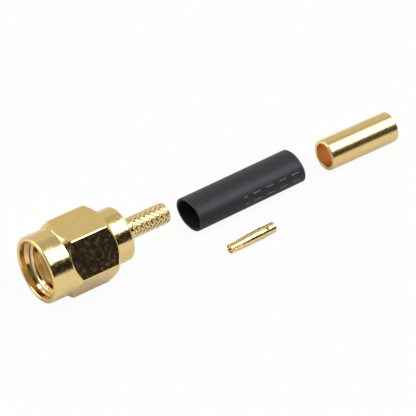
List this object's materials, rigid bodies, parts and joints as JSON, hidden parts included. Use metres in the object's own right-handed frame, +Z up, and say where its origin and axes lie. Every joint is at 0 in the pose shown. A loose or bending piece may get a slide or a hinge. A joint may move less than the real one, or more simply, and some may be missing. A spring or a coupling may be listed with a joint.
{
  "type": "crimp coaxial connector plug",
  "caption": "Gold-plated crimp coaxial plug with a free-turning hexagonal coupling nut, laid out with its centre contact, shrink sleeve and crimp ferrule.",
  "frame": {"origin": "centre of the reference plane, the front edge of the outer conductor's tube, on the plug's axis", "axes": "+X along the plug's axis from the mating end to the cable end, +Z up from the surface that the pieces lie on"},
  "size_m": [0.0498, 0.0114, 0.008],
  "materials": {
    "gold_plated_brass": "gold plate over turned brass, bright",
    "ptfe": "white turned PTFE",
    "silicone_rubber": "moulded silicone rubber",
    "spring_bronze": "heat-treated copper alloy spring stock",
    "polyolefin_tube": "extruded heat-shrink polyolefin, satin"
  },
  "bodies": {
    "plug": {"plug_body": "gold_plated_brass", "insulator": "ptfe", "gasket": "silicone_rubber", "centre_contact": "gold_plated_brass", "crimp_ferrule": "gold_plated_brass", "shrink_sleeve": "polyolefin_tube"},
    "ring": {"retaining_ring": "spring_bronze"},
    "nut": {"coupling_nut": "gold_plated_brass"}
  },
  "joints": [
    {"name": "nut_spin", "type": "hinge", "parent": "plug", "child": "ring", "pos_m": [0.003, 0, 0], "axis": [1, 0, 0], "continuous": true},
    {"name": "nut_float", "type": "slide", "parent": "ring", "child": "nut", "axis": [1, 0, 0], "range_m": [-0.00008, 0.0002]}
  ]
}
